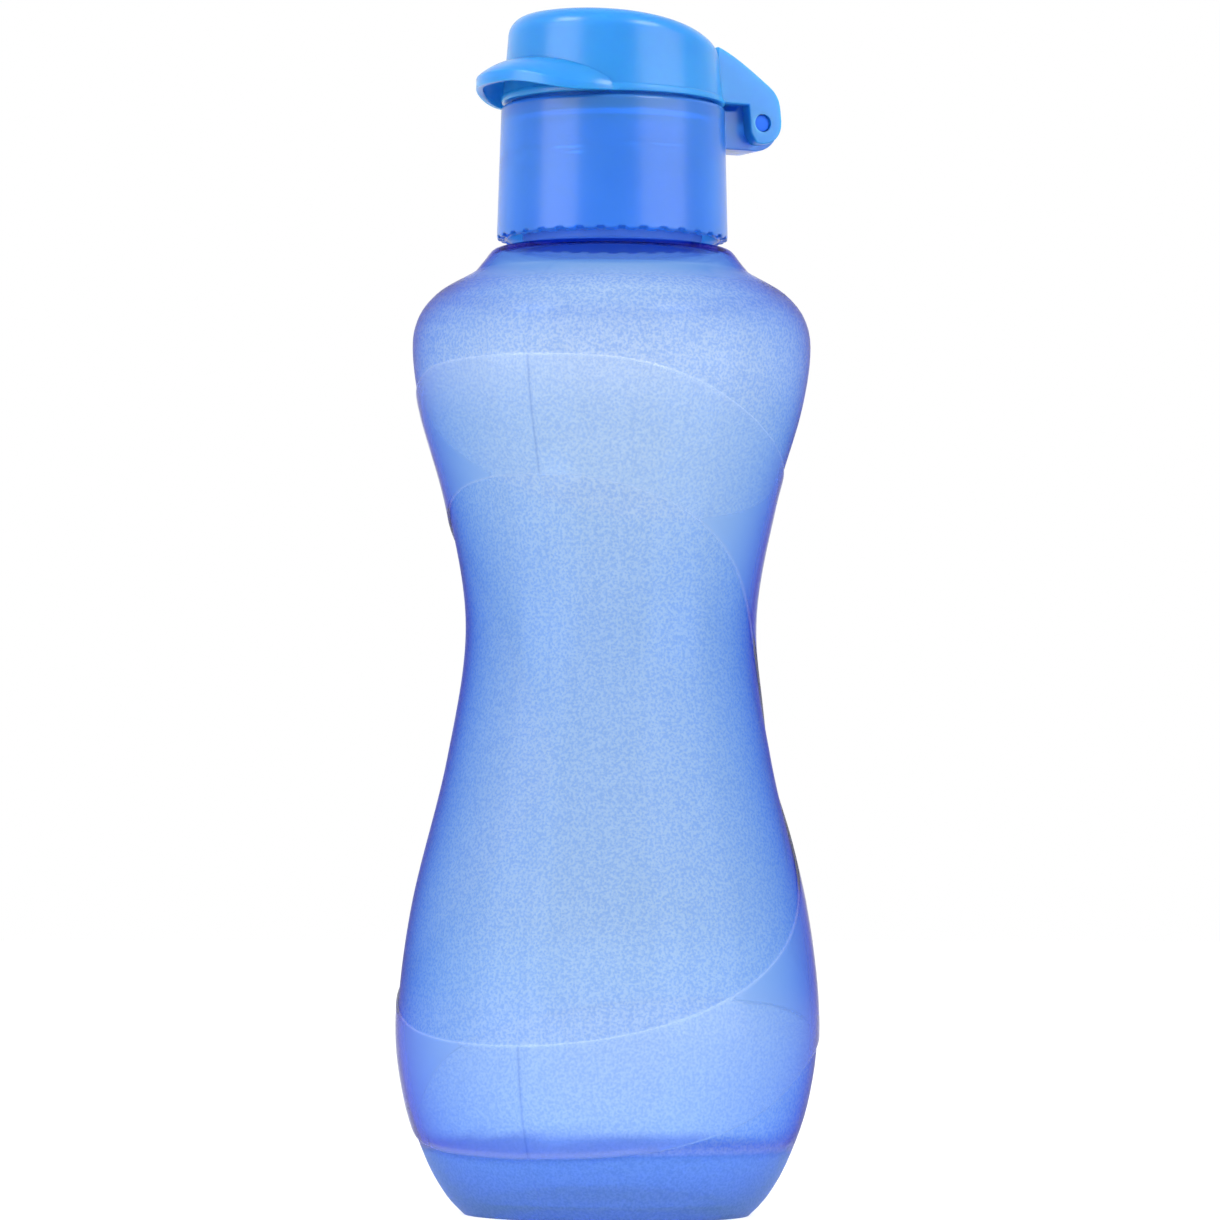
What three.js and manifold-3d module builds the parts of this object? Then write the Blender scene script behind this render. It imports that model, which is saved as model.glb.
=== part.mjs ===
// Sports squeeze bottle: a waisted bottle with a screw cap, a hinged flip lid and a drinking spout.
// Millimetres, +Z up. The origin is the centre of the standing face. The lid's hinge is towards +X
// and its thumb tab towards -X.
import * as THREE from "three";
import { mergeVertices } from "three/addons/utils/BufferGeometryUtils.js";
import Module from "manifold-3d";

const wasm = await Module();
wasm.setup();

// ---- Driving dimensions ----
const ROUND_SIDES = 48; // facets round the bottle, the cap and the lid
const SMALL_SIDES = 24; // facets round the spout, the seals and the pin
const GAP = 0.3; // between pieces that touch on the real bottle

// Bottle: outer radius against height, from the heel to the foot of the collar.
const WALL = 1.3;
const STANDING_RADIUS = 27.2;
const STANDING_WIDTH = 3.2;
const BASE_PUSH_UP = 2.4;
const SIDE_POINTS = [
  [27.2, 0],
  [30.7, 3.7],
  [34.6, 10.6],
  [38.5, 22.1],
  [40.1, 37.2],
  [37.6, 58.9],
  [31.1, 86.5],
  [27.65, 111.8],
  [31.2, 134.8],
  [36.4, 153.2],
  [38.2, 164.7],
  [37.2, 171.2],
  [33.6, 175.9],
  [28.2, 179.2],
];
const COLLAR_POINTS = [
  [26.4, 180.2],
  [24.7, 182.3],
  [22.3, 184.7],
  [20.2, 185.2],
];

// Neck, a 38 mm finish.
const NECK_RADIUS = 17.3;
const NECK_BORE = 15.5;
const NECK_BASE_Z = 185.3;
const NECK_TOP_Z = 208.5;

// Screw thread, right-handed, single start.
const PITCH = 4;
const THREAD_CREST_RADIUS = 18.75;
const THREAD_ROOT_HEIGHT = 2.2;
const THREAD_CREST_HEIGHT = 1;
const THREAD_EMBED = 0.5; // how far a ridge's root runs into its wall
const THREAD_START_Z = 197.6;
const NECK_THREAD_TURNS = 2;
const CAP_THREAD_TURNS = 1;
const THREAD_FADE_TURNS = 0.1;

// Screw cap.
const SKIRT_BOTTOM_Z = 187.1;
const SKIRT_BOTTOM_RADIUS = 22.2;
const SKIRT_TOP_RADIUS = 21.5;
const SKIRT_MOUTH_RADIUS = 20.1;
const CAP_BORE = 19.3;
const CAP_THREAD_CREST = 17.75;
const DECK_TOP_Z = 212.3;
const DECK_THICKNESS = 2.1;
const DECK_HOLE = 10;
const SKIRT_EDGE = 1.1; // fillet round the deck
const SEAT_RADIUS = 19.3;
const SEAT_WIDTH = 1;
const SEAT_HEIGHT = 1.4;

// Flip lid.
const LID_RIM_Z = 212.9;
const LID_RADIUS = 21.5;
const LID_BAND_HEIGHT = 1.4;
const LID_BAND_STEP = 0.3;
const LID_WALL_TOP_RADIUS = 20.3;
const LID_WALL_TOP_Z = 225.2;
const LID_FILLET = 4;
const LID_CROWN = 0.5;
const LID_WALL = 1.6;
const LID_TOP_Z = LID_WALL_TOP_Z + LID_FILLET + LID_CROWN;
// Height of the lid's top line against x, from over the tab down to the outer end of the hinge arm.
const LID_TOP_LINE = [
  [-22, 230.3],
  [-10, 229.8],
  [0, 228.8],
  [10, 227],
  [20, 224.1],
  [28.9, 218.4],
  [32, 215.3],
  [32.8, 211],
];

// Thumb tab: its outline is a circle set off towards -X.
const TAB_OFFSET = 7.7;
const TAB_OUTLINE_RADIUS = 19.4;
const TAB_HALF_SPAN = THREE.MathUtils.degToRad(67);
const TAB_ROOT_HEIGHT = 7.6;
const TAB_EDGE_HEIGHT = 2.2;
const TAB_EDGE_LIFT = 2.3;
const TAB_LIFT_FULL = THREE.MathUtils.degToRad(12); // the edge is fully lifted this far round
const TAB_LIFT_END = THREE.MathUtils.degToRad(50);
const TAB_THICKNESS = 1.5;
const TAB_STEPS = 18;

// Hinge: a tongue on the cap, between two ears on the lid's arm.
const PIN_X = 28.7;
const PIN_Z = 210.3;
const PIN_RADIUS = 1.65;
const PIN_HOLE_RADIUS = 1.75;
const PIN_RECESS = 0.6;
const HINGE_HALF_WIDTH = 7.5;
const KNUCKLE_HALF_WIDTH = 4.2;
const KNUCKLE_RADIUS = 5.1;
const TONGUE_TOP_Z = 212.8;
const EAR_RADIUS = 4.1;
const EAR_INNER_TOP = 3; // from the pin to the ear's edge on the cap's side, at its root
const EAR_INNER_LOW = 2.6; // and lower down
const ARM_UNDERSIDE_Z = 213.7;
const SLOT_START_X = 22;
const WEB_END = 5; // height over the pin where the arm stops between its ears

// Drinking spout, seals.
const SPOUT_TOP_Z = 221.5;
const SPOUT_LIP_RADIUS = 6.9;
const SPOUT_BORE = 3.5;
const SPOUT_FLANGE_RADIUS = 12.4;
const SPOUT_BEAD_RADIUS = 10.7;
const SEAL_RADIUS = 8;
const SEAL_STEM_RADIUS = 4.6;
const SEAL_NOSE_DEPTH = 2;
const BOSS_RADIUS = 6.6;

// ---- Geometry helpers ----
const vectors = (pairs) => pairs.map(([x, y]) => new THREE.Vector2(x, y));

// A piece turned round +Z from pairs of radius and height.
function turned(points, sides = ROUND_SIDES) {
  return new THREE.LatheGeometry(points, sides).rotateX(Math.PI / 2);
}

// An outline in the XZ plane, drawn out along Y between two places.
function drawnAlongY(shape, fromY, toY, curveSegments = 12) {
  const made = new THREE.ExtrudeGeometry(shape, {
    depth: toY - fromY,
    bevelEnabled: false,
    curveSegments,
  });
  return made.rotateX(Math.PI / 2).translate(0, toY, 0);
}

function disc(x, z, radius) {
  return new THREE.Shape().absarc(x, z, radius, 0, 2 * Math.PI);
}

// A round hole or pin across the hinge.
const acrossHinge = (radius, halfWidth) =>
  drawnAlongY(disc(PIN_X, PIN_Z, radius), -halfWidth, halfWidth, SMALL_SIDES / 2);

function solid(geometry) {
  const bare = geometry.clone();
  bare.deleteAttribute("normal");
  bare.deleteAttribute("uv");
  const merged = mergeVertices(bare, 1e-4);
  return new wasm.Manifold(
    new wasm.Mesh({
      numProp: 3,
      vertProperties: new Float32Array(merged.attributes.position.array),
      triVerts: new Uint32Array(merged.index.array),
    }),
  );
}

function geometryOf(made) {
  const { vertProperties, triVerts } = made.getMesh();
  const geometry = new THREE.BufferGeometry();
  geometry.setAttribute("position", new THREE.BufferAttribute(vertProperties, 3));
  geometry.setIndex(new THREE.BufferAttribute(triVerts, 1));
  geometry.computeVertexNormals();
  return geometry;
}

// A skin through rings of points, each ring a closed section, with both ends closed by fans.
function skinned(rings) {
  const sides = rings[0].length;
  const faces = [];
  for (let ring = 0; ring < rings.length - 1; ring++) {
    for (let side = 0; side < sides; side++) {
      const next = (side + 1) % sides;
      const here = ring * sides;
      const there = here + sides;
      faces.push(here + side, there + side, there + next);
      faces.push(here + side, there + next, here + next);
    }
  }
  const last = (rings.length - 1) * sides;
  for (let side = 1; side < sides - 1; side++) {
    faces.push(0, side, side + 1);
    faces.push(last, last + side + 1, last + side);
  }
  const geometry = new THREE.BufferGeometry().setFromPoints(rings.flat());
  geometry.setIndex(faces);
  return geometry;
}

const onCircle = (radius, angle, z) =>
  new THREE.Vector3(radius * Math.cos(angle), radius * Math.sin(angle), z);

// One screw ridge. Its root is in the wall and its crest fades into the wall at both ends.
function threadRidge({ wallRadius, crestRadius, startZ, startTurn, turns }) {
  const outwards = Math.sign(crestRadius - wallRadius);
  const steps = Math.round(turns * ROUND_SIDES);
  const fadeSteps = THREAD_FADE_TURNS * ROUND_SIDES;
  const rings = [];
  for (let step = 0; step <= steps; step++) {
    const turn = startTurn + step / ROUND_SIDES;
    const angle = 2 * Math.PI * turn;
    const z = startZ + PITCH * turn;
    const fade = Math.min(1, (step + 0.2) / fadeSteps, (steps - step + 0.2) / fadeSteps);
    const root = wallRadius - outwards * THREAD_EMBED;
    const crest = wallRadius + (crestRadius - wallRadius) * fade;
    const ring = [
      onCircle(root, angle, z + THREAD_ROOT_HEIGHT / 2),
      onCircle(root, angle, z - THREAD_ROOT_HEIGHT / 2),
      onCircle(crest, angle, z - THREAD_CREST_HEIGHT / 2),
      onCircle(crest, angle, z + THREAD_CREST_HEIGHT / 2),
    ];
    rings.push(outwards > 0 ? ring : ring.reverse());
  }
  return skinned(rings);
}

// ---- Bottle body ----
function bottleBody() {
  const side = new THREE.SplineCurve(vectors(SIDE_POINTS));
  const outer = side.getPoints(22);
  const innerSteps = 13;
  const inner = [];
  for (let step = 1; step < innerSteps; step++) {
    const at = side.getPointAt(step / innerSteps);
    const along = side.getTangentAt(step / innerSteps);
    inner.push(new THREE.Vector2(at.x - WALL * along.y, at.y + WALL * along.x));
  }
  const profile = [
    new THREE.Vector2(0, BASE_PUSH_UP),
    new THREE.Vector2(STANDING_RADIUS - STANDING_WIDTH - 6, BASE_PUSH_UP * 0.6),
    new THREE.Vector2(STANDING_RADIUS - STANDING_WIDTH, 0),
    ...outer,
    ...vectors(COLLAR_POINTS),
    new THREE.Vector2(NECK_RADIUS, NECK_BASE_Z),
    new THREE.Vector2(NECK_RADIUS, NECK_TOP_Z - 0.4),
    new THREE.Vector2(NECK_RADIUS - 0.4, NECK_TOP_Z),
    new THREE.Vector2(NECK_BORE, NECK_TOP_Z),
    new THREE.Vector2(NECK_BORE, NECK_BASE_Z - 1),
    new THREE.Vector2(NECK_BORE + 6, NECK_BASE_Z - 3),
    ...inner.reverse(),
    new THREE.Vector2(STANDING_RADIUS - STANDING_WIDTH / 2, WALL),
    new THREE.Vector2(STANDING_RADIUS - STANDING_WIDTH - 6, WALL + BASE_PUSH_UP * 0.6),
    new THREE.Vector2(0, WALL + BASE_PUSH_UP),
  ];
  const thread = threadRidge({
    wallRadius: NECK_RADIUS,
    crestRadius: THREAD_CREST_RADIUS,
    startZ: THREAD_START_Z,
    startTurn: 0,
    turns: NECK_THREAD_TURNS,
  });
  return geometryOf(solid(turned(profile)).add(solid(thread)));
}

// ---- Screw cap: skirt, deck with the lid's seating ring, inside thread and hinge tongue ----
function screwCap() {
  const deckBottom = DECK_TOP_Z - DECK_THICKNESS;
  const seatTop = DECK_TOP_Z + SEAT_HEIGHT;
  const edge = SKIRT_TOP_RADIUS - SKIRT_EDGE;
  const fillet = [30, 60].map((degrees) => {
    const angle = THREE.MathUtils.degToRad(degrees);
    const drop = SKIRT_EDGE * (1 - Math.sin(angle));
    return [edge + SKIRT_EDGE * Math.cos(angle), DECK_TOP_Z - drop];
  });
  const profile = vectors([
    [SKIRT_MOUTH_RADIUS, SKIRT_BOTTOM_Z],
    [SKIRT_BOTTOM_RADIUS, SKIRT_BOTTOM_Z],
    [SKIRT_TOP_RADIUS, DECK_TOP_Z - SKIRT_EDGE],
    ...fillet,
    [edge, DECK_TOP_Z],
    [SEAT_RADIUS, DECK_TOP_Z],
    [SEAT_RADIUS - 0.1, seatTop],
    [SEAT_RADIUS - SEAT_WIDTH, seatTop],
    [SEAT_RADIUS - SEAT_WIDTH, DECK_TOP_Z],
    [DECK_HOLE, DECK_TOP_Z],
    [DECK_HOLE, deckBottom],
    [CAP_BORE, deckBottom],
    [CAP_BORE, THREAD_START_Z - PITCH / 2],
    [SKIRT_MOUTH_RADIUS, SKIRT_BOTTOM_Z],
  ]);
  const thread = threadRidge({
    wallRadius: CAP_BORE,
    crestRadius: CAP_THREAD_CREST,
    startZ: THREAD_START_Z - PITCH / 2,
    startTurn: NECK_THREAD_TURNS - CAP_THREAD_TURNS,
    turns: CAP_THREAD_TURNS,
  });

  // The tongue runs flat from the skirt to its round end, the knuckle.
  const root = CAP_BORE + 0.8;
  const topMeets = Math.PI - Math.asin((TONGUE_TOP_Z - PIN_Z) / KNUCKLE_RADIUS);
  const tongue = new THREE.Shape();
  tongue.moveTo(root, TONGUE_TOP_Z);
  tongue.lineTo(root, PIN_Z - KNUCKLE_RADIUS);
  tongue.absarc(PIN_X, PIN_Z, KNUCKLE_RADIUS, -0.5 * Math.PI, topMeets);

  // The lid's rim and seat stay clear of the tongue.
  const clearOfLid = turned(
    vectors([
      [0, DECK_TOP_Z],
      [LID_RADIUS + GAP, DECK_TOP_Z],
      [LID_RADIUS + GAP, DECK_TOP_Z + 5],
      [0, DECK_TOP_Z + 5],
    ]),
  );
  const hinge = solid(drawnAlongY(tongue, -KNUCKLE_HALF_WIDTH, KNUCKLE_HALF_WIDTH, 20))
    .subtract(solid(acrossHinge(PIN_HOLE_RADIUS, HINGE_HALF_WIDTH + 1)))
    .subtract(solid(clearOfLid));
  return geometryOf(solid(turned(profile)).add(solid(thread)).add(hinge));
}

// ---- Flip lid ----
const topLine = new THREE.SplineCurve(vectors(LID_TOP_LINE));
const TOP_SAMPLES = topLine.getPoints(40);

function lidTopAt(x) {
  const after = TOP_SAMPLES.findIndex((point) => point.x >= x);
  const high = TOP_SAMPLES[Math.max(after, 1)];
  const low = TOP_SAMPLES[Math.max(after, 1) - 1];
  return THREE.MathUtils.mapLinear(x, low.x, high.x, low.y, high.y);
}

// A round lid is squeezed in height, more towards the hinge, so that its top follows the top line.
function sloped(geometry) {
  const position = geometry.attributes.position;
  for (let index = 0; index < position.count; index++) {
    const share = (lidTopAt(position.getX(index)) - LID_RIM_Z) / (LID_TOP_Z - LID_RIM_Z);
    const height = position.getZ(index) - LID_RIM_Z;
    if (height > 0) position.setZ(index, LID_RIM_Z + height * share);
  }
  return geometry;
}

// The dome's profile, from the top of its wall over the fillet to the axis, moved in by a thickness.
function domeProfile(inset) {
  const centreR = LID_WALL_TOP_RADIUS - LID_FILLET;
  const radius = LID_FILLET - inset;
  const points = [];
  for (let step = 0; step <= 4; step++) {
    const angle = (step / 4) * (Math.PI / 2 - 0.06);
    points.push([
      centreR + radius * Math.cos(angle),
      LID_WALL_TOP_Z + radius * Math.sin(angle),
    ]);
  }
  points.push([centreR / 2, LID_TOP_Z - LID_CROWN / 4 - inset]);
  points.push([0, LID_TOP_Z - inset]);
  return points;
}

// The tab: at each angle round the lid a curved leaf, from inside the lid's wall to the outline.
function thumbTab() {
  const rings = [];
  const rootRadius = LID_WALL_TOP_RADIUS - 0.2;
  for (let step = 0; step <= TAB_STEPS; step++) {
    const share = (2 * step) / TAB_STEPS - 1;
    const angle = share * TAB_HALF_SPAN * 0.995;
    const swell = Math.sqrt(1 - (angle / TAB_HALF_SPAN) ** 2);
    const across = TAB_OFFSET * Math.sin(angle);
    const reach = TAB_OFFSET * Math.cos(angle) + Math.sqrt(TAB_OUTLINE_RADIUS ** 2 - across ** 2);
    const edge = Math.max(reach, LID_RADIUS + 0.05);
    const rootTop = LID_RIM_Z + 0.8 + (TAB_ROOT_HEIGHT - 0.8) * swell;
    const dropped = THREE.MathUtils.smoothstep(Math.abs(angle), TAB_LIFT_FULL, TAB_LIFT_END);
    const edgeLow = LID_RIM_Z + TAB_EDGE_LIFT * (1 - dropped);
    const edgeTop = edgeLow + 0.4 + (TAB_EDGE_HEIGHT - 0.4) * swell;
    const middle = (rootRadius + edge) / 2;
    const middleTop = (rootTop + edgeTop) / 2 + 0.7 * swell;
    const leaf = 0.3 + (TAB_THICKNESS - 0.3) * swell;
    const section = [
      [rootRadius, rootTop - leaf],
      [middle, middleTop - leaf],
      [edge - leaf, edgeTop - leaf],
      [edge - leaf * 0.9, edgeLow],
      [edge, edgeLow],
      [edge, edgeTop],
      [middle, middleTop],
      [rootRadius, rootTop],
    ];
    rings.push(section.map(([radius, z]) => onCircle(radius, Math.PI + angle, z)));
  }
  return skinned(rings);
}

function flipLid() {
  const outer = vectors([
    [0, LID_RIM_Z],
    [LID_RADIUS, LID_RIM_Z],
    [LID_RADIUS, LID_RIM_Z + LID_BAND_HEIGHT],
    [LID_RADIUS - LID_BAND_STEP, LID_RIM_Z + LID_BAND_HEIGHT],
    ...domeProfile(0),
  ]);
  const inner = vectors([
    [0, LID_RIM_Z - 1],
    [LID_RADIUS - LID_WALL - 0.1, LID_RIM_Z - 1],
    [LID_RADIUS - LID_WALL - 0.1, LID_RIM_Z + LID_BAND_HEIGHT],
    ...domeProfile(LID_WALL),
  ]);
  const boss = turned(
    vectors([
      [SEAL_STEM_RADIUS + GAP, SPOUT_TOP_Z + 3.2],
      [BOSS_RADIUS, SPOUT_TOP_Z + 3.2],
      [BOSS_RADIUS, LID_TOP_Z - LID_WALL / 2],
      [SEAL_STEM_RADIUS + GAP, LID_TOP_Z - LID_WALL / 2],
      [SEAL_STEM_RADIUS + GAP, SPOUT_TOP_Z + 3.2],
    ]),
    SMALL_SIDES,
  );

  // The arm carries the top line on over the hinge, and its ears come down each side of the knuckle.
  const arm = new THREE.Shape();
  arm.moveTo(LID_WALL_TOP_RADIUS - 2, ARM_UNDERSIDE_Z);
  arm.lineTo(PIN_X - EAR_INNER_TOP, ARM_UNDERSIDE_Z);
  arm.lineTo(PIN_X - EAR_INNER_LOW, PIN_Z - EAR_RADIUS / 2);
  arm.absarc(PIN_X, PIN_Z, EAR_RADIUS, 1.39 * Math.PI, 2 * Math.PI);
  const overArm = TOP_SAMPLES.filter((point) => point.x > LID_WALL_TOP_RADIUS - 2).reverse();
  overArm.forEach((point) => arm.lineTo(point.x, point.y));

  // The slot between the ears clears the knuckle.
  const slotRadius = KNUCKLE_RADIUS + GAP;
  const slot = new THREE.Shape();
  slot.moveTo(SLOT_START_X, PIN_Z - 10);
  slot.lineTo(PIN_X + 10, PIN_Z - 10);
  slot.lineTo(PIN_X + 10, PIN_Z + WEB_END);
  slot.absarc(PIN_X, PIN_Z, slotRadius, Math.asin(WEB_END / slotRadius), 0.5 * Math.PI);
  slot.lineTo(SLOT_START_X, PIN_Z + slotRadius);
  const slotHalf = KNUCKLE_HALF_WIDTH + GAP;

  const shell = solid(sloped(turned(outer)))
    .add(solid(drawnAlongY(arm, -HINGE_HALF_WIDTH, HINGE_HALF_WIDTH)))
    .add(solid(thumbTab()))
    .subtract(solid(sloped(turned(inner))));
  const made = shell
    .add(solid(boss).intersect(solid(sloped(turned(outer)))))
    .subtract(solid(drawnAlongY(slot, -slotHalf, slotHalf, 10)))
    .subtract(solid(acrossHinge(PIN_HOLE_RADIUS, HINGE_HALF_WIDTH + 1)));
  return geometryOf(made);
}

// ---- Small pieces ----
function hingePin() {
  return acrossHinge(PIN_RADIUS, HINGE_HALF_WIDTH - PIN_RECESS);
}

function drinkingSpout() {
  const flangeBottom = DECK_TOP_Z + GAP;
  const beadTop = DECK_TOP_Z - DECK_THICKNESS - GAP;
  const shank = DECK_HOLE - GAP;
  return turned(
    vectors([
      [8.3, beadTop - 1.5],
      [SPOUT_BEAD_RADIUS - 0.6, beadTop - 1.5],
      [SPOUT_BEAD_RADIUS, beadTop],
      [shank, beadTop],
      [shank, flangeBottom],
      [SPOUT_FLANGE_RADIUS, flangeBottom],
      [SPOUT_FLANGE_RADIUS - 0.4, flangeBottom + 1.2],
      [9.6, flangeBottom + 1.6],
      [6.4, SPOUT_TOP_Z - 3],
      [SPOUT_LIP_RADIUS, SPOUT_TOP_Z - 1.6],
      [SPOUT_LIP_RADIUS - 0.4, SPOUT_TOP_Z - 0.3],
      [SPOUT_LIP_RADIUS - 1.4, SPOUT_TOP_Z],
      [SPOUT_BORE, SPOUT_TOP_Z],
      [SPOUT_BORE, SPOUT_TOP_Z - 4],
      [8.3, flangeBottom],
      [8.3, beadTop - 1.5],
    ]),
    SMALL_SIDES,
  );
}

function lidSeal() {
  const bottom = SPOUT_TOP_Z + 0.4;
  const top = bottom + 2.4;
  return turned(
    vectors([
      [0, bottom - SEAL_NOSE_DEPTH],
      [2, bottom - SEAL_NOSE_DEPTH],
      [SPOUT_BORE - 0.5, bottom],
      [SEAL_RADIUS, bottom],
      [SEAL_RADIUS, top - 0.4],
      [SEAL_RADIUS - 0.5, top],
      [SEAL_STEM_RADIUS, top],
      [SEAL_STEM_RADIUS - 0.3, top + 1],
      [0, top + 1],
    ]),
    SMALL_SIDES,
  );
}

function neckGasket() {
  const bottom = NECK_TOP_Z + GAP;
  const top = DECK_TOP_Z - DECK_THICKNESS - GAP;
  return turned(
    vectors([
      [NECK_BORE, bottom],
      [NECK_RADIUS + 1.2, bottom],
      [NECK_RADIUS + 1.2, top],
      [NECK_BORE, top],
      [NECK_BORE, bottom],
    ]),
    SMALL_SIDES,
  );
}

// ---- Assembly ----
const plastic = (color, roughness, opacity = 1) =>
  new THREE.MeshStandardMaterial({
    color,
    roughness,
    metalness: 0,
    opacity,
    transparent: opacity < 1,
  });

const bottle = new THREE.Group();
bottle.name = "sports_squeeze_bottle";

function place(name, geometry, material, parent) {
  const mesh = new THREE.Mesh(geometry, material);
  mesh.name = name;
  parent.add(mesh);
}

const capGroup = new THREE.Group();
const lidGroup = new THREE.Group();
capGroup.add(lidGroup);
bottle.add(capGroup);

place("bottle_body", bottleBody(), plastic(0x7fa4ee, 0.4, 0.75), bottle);
place("neck_gasket", neckGasket(), plastic(0xe9edf2, 0.6), bottle);
place("screw_cap", screwCap(), plastic(0x3f80e4, 0.3, 0.9), capGroup);
place("drinking_spout", drinkingSpout(), plastic(0xe4ecf4, 0.5), capGroup);
place("hinge_pin", hingePin(), plastic(0x3f80e4, 0.3), capGroup);
place("flip_lid", flipLid(), plastic(0x3a96ec, 0.25, 0.95), lidGroup);
place("lid_seal", lidSeal(), plastic(0xe9edf2, 0.6), lidGroup);

export default bottle;
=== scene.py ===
"""Sports squeeze bottle: the looks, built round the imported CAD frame.

Profiles are in millimetres, in the CAD model's frame, and every mesh is made in metres.
"""
import math

import bmesh
import bpy
import numpy as np
from mathutils import Matrix, Vector


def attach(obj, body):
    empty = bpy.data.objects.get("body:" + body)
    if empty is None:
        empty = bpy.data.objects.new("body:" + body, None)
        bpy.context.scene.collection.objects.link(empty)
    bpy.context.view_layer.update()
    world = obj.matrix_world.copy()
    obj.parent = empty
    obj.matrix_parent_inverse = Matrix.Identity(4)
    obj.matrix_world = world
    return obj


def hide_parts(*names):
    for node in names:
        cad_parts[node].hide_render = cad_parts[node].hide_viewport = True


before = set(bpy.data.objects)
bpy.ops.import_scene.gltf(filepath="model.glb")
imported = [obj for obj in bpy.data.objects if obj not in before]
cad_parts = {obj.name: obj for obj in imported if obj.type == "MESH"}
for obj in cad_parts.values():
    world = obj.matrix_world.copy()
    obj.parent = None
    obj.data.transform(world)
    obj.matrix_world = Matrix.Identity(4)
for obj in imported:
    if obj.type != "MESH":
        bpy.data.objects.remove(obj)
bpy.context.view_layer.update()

MM = 0.001
TURN = 2 * math.pi

# Bottle, as in the CAD model: radius and height.
BASE_WALL = 2.2
BASE_RADIUS = 27.2
SIDE_POINTS = [
    (BASE_RADIUS, 0), (30.7, 3.7), (34.6, 10.6), (38.5, 22.1), (40.1, 37.2), (37.6, 58.9), (31.1, 86.5),
    (27.65, 111.8), (31.2, 134.8), (36.4, 153.2), (38.2, 164.7), (37.2, 171.2), (33.6, 175.9),
    (28.2, 179.2),
]
COLLAR_POINTS = [(26.4, 180.2), (24.7, 182.3), (23.3, 184.1), (22.3, 184.7), (20.2, 185.2)]
NECK_RADIUS, NECK_BORE = 17.3, 15.5
NECK_BASE_Z, NECK_TOP_Z = 185.3, 208.5
BASE_RING_WIDTH, BASE_PUSH_UP = 3.2, 2.4
GRAIN_TOP_Z, GRAIN_FADE = 179, 2.5
THREAD_ROW_STEP = 0.35
# Height and thickness of the blown wall: thinnest where it stretched furthest, thick at the base.
WALL_LINE = [(0, 3.2), (8, 2.4), (15, 1.5), (37, 1.2), (60, 1.1), (90, 1.2), (112, 1.3),
             (135, 1.0), (150, 0.85), (165, 1.0), (178, 1.25)]
INSIDE_TOP_Z, INSIDE_FOOT_Z, INSIDE_ROWS = 178.4, 2.6, 52

# The moulded pattern. Angles are from its middle, in degrees, and lines are heights.
SEAM_AZIMUTH = -140
PATTERN_AZIMUTH = -145
BAND_RAISE, BAND_EDGE = 0.45, 0.5
SEAM_RAISE, SEAM_HALF_ANGLE = 0.16, 0.6
COLUMN_STEP = 1.25
BAND_TOP_LINE = [(0, 161.8), (25, 161.2), (40, 159.9), (55, 157), (70, 152.8), (90, 147.2),
                 (120, 140.2), (150, 136), (180, 134.5)]
BAND_FOOT_LINE = [(0, 12), (25, 12.5), (40, 13.4), (52, 14.8), (67, 17.6), (83, 22.4),
                  (98, 28.8), (120, 34.6), (150, 39), (180, 40.5)]
PANEL_MIDDLE_Z, PANEL_HALF_HEIGHT, PANEL_HALF_SPAN = 86.4, 53.35, 131
PANEL_POWER_Z, PANEL_POWER_ACROSS = 1.25, 2.2
ROWS_BETWEEN_LINES = (14, 20, 56, 20, 26)

# Shares of haze in the wall, from 0 for clear to 1 for the cloudiest.
HEEL_HAZE, HEEL_HAZE_TOP_Z, LOWER_HAZE, NECK_HAZE = 0.65, 13, 0.05, 0.8
FROST, SHOULDER_FROST = 0.015, 0.055
FAR_SEAM_SHARE = 0.3


# ---- Curves ----
def spline(points, per_span):
    """A smooth curve through the points, with the same rule as the CAD model's splines."""
    p = np.array(points, float)
    made = []
    for i in range(len(p) - 1):
        before, here, there, after = p[max(i - 1, 0)], p[i], p[i + 1], p[min(i + 2, len(p) - 1)]
        slope_here, slope_there = (there - before) / 2, (after - here) / 2
        for t in np.linspace(0, 1, per_span, endpoint=False):
            made.append((2 * here - 2 * there + slope_here + slope_there) * t**3
                        + (3 * there - 3 * here - 2 * slope_here - slope_there) * t**2
                        + slope_here * t + here)
    made.append(p[-1])
    return np.array(made)


def smooth_step(x):
    x = np.clip(x, 0, 1)
    return x * x * (3 - 2 * x)


# ---- Meshes ----
ARC_STEPS, ARC_SUPPORT = 4, 0.2
MERGE_DISTANCE = 0.0005


def linked(name, data):
    """A new object in the scene."""
    made = bpy.data.objects.new(name, data)
    bpy.context.scene.collection.objects.link(made)
    return made


def make_piece(name, mesh, body, node, material, sharp_angle):
    """One visible piece from a mesh in metres, in place of a CAD node and riding its body."""
    piece = linked(name, mesh)
    mesh.polygons.foreach_set("use_smooth", [True] * len(mesh.polygons))
    mesh.set_sharp_from_angle(angle=math.radians(sharp_angle))
    mesh.materials.clear()
    mesh.materials.append(material)
    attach(piece, body)
    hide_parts(node)
    return piece


def ring_faces(rings, columns, closed):
    """Quads between rings of vertices. closed also joins the last ring to the first."""
    faces = []
    for i in range(rings if closed else rings - 1):
        here, there = i * columns, ((i + 1) % rings) * columns
        for j in range(columns):
            k = (j + 1) % columns
            faces.append((here + j, here + k, there + k, there + j))
    return faces


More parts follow.
